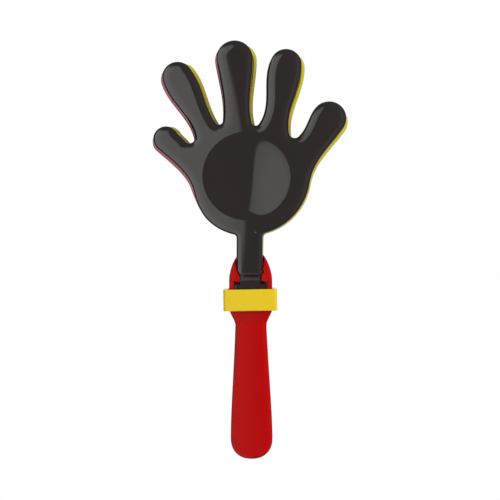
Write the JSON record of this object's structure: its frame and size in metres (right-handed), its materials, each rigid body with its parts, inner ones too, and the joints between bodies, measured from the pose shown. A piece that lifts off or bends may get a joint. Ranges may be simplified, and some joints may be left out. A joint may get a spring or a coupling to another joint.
{
  "type": "hand clapper",
  "caption": "Plastic hand clapper: a handle with a forked head, a fixed middle hand between two hands that swing out and clap against it, and a collar that holds them in.",
  "frame": {"origin": "lower end of the handle, on the handle's long axis and in the plane of the middle hand", "axes": "+Z along the handle from its lower end to the fingertips, the front (black) hand faces -Y, +X is towards its thumb"},
  "size_m": [0.1323, 0.0282, 0.2808],
  "materials": {
    "black_plastic": "smooth, glossy moulded plastic",
    "red_plastic": "smooth, semi-glossy moulded plastic",
    "yellow_plastic": "smooth, semi-glossy moulded plastic"
  },
  "bodies": {
    "handle": {"handle": "red_plastic", "middle_hand": "red_plastic"},
    "front_hand": {"front_hand": "black_plastic"},
    "rear_hand": {"rear_hand": "yellow_plastic"},
    "collar": {"collar": "yellow_plastic"}
  },
  "joints": [
    {"name": "front_hand_swing", "type": "hinge", "parent": "handle", "child": "front_hand", "pos_m": [-0.0003, -0.0069, 0.1147], "axis": [1, 0, -0.0061], "range_deg": [0, 38]},
    {"name": "rear_hand_swing", "type": "hinge", "parent": "handle", "child": "rear_hand", "pos_m": [-0.0003, 0.0069, 0.1147], "axis": [-0.9997, 0, 0.0227], "range_deg": [0, 38]},
    {"name": "collar_slide", "type": "slide", "parent": "handle", "child": "collar", "axis": [0, 0, 1], "range_m": [-0.06, 0]}
  ]
}
